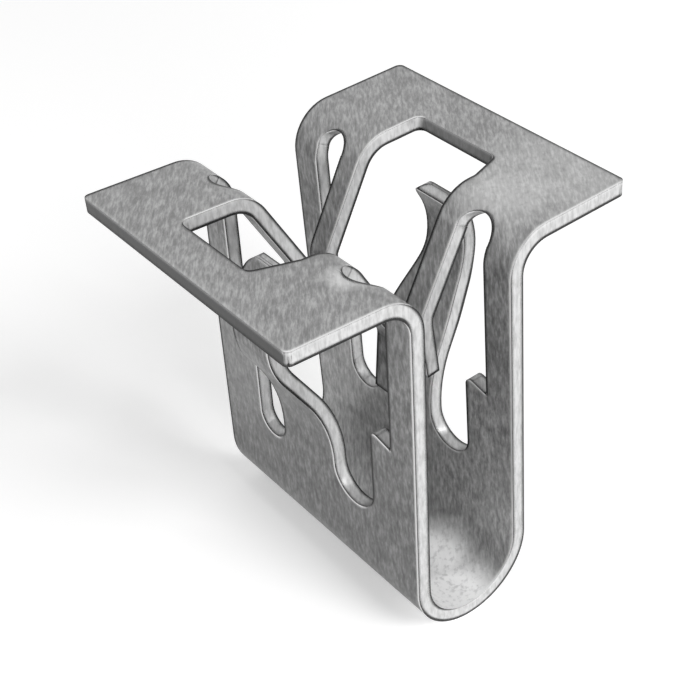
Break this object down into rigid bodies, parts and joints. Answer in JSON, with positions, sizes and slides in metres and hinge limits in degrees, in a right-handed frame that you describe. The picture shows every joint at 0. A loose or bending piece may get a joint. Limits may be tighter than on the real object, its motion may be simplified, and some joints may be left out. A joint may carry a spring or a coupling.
{
  "type": "molding clip",
  "caption": "Folded spring-steel U clip with side flanges, outward snap tongues and inward gripping fingers, for holding molding in a panel slot.",
  "frame": {"origin": "middle of the clip, level with the underside of the flanges, where the panel's face lies", "axes": "+X across the U from the left leg to the right leg, +Y along the clip's width, +Z out of the panel"},
  "size_m": [0.0191, 0.016, 0.0218],
  "materials": {
    "spring_steel": "satin, faintly streaked, bright on cut edges"
  },
  "bodies": {
    "root": {"molding_clip": "spring_steel"}
  },
  "joints": []
}
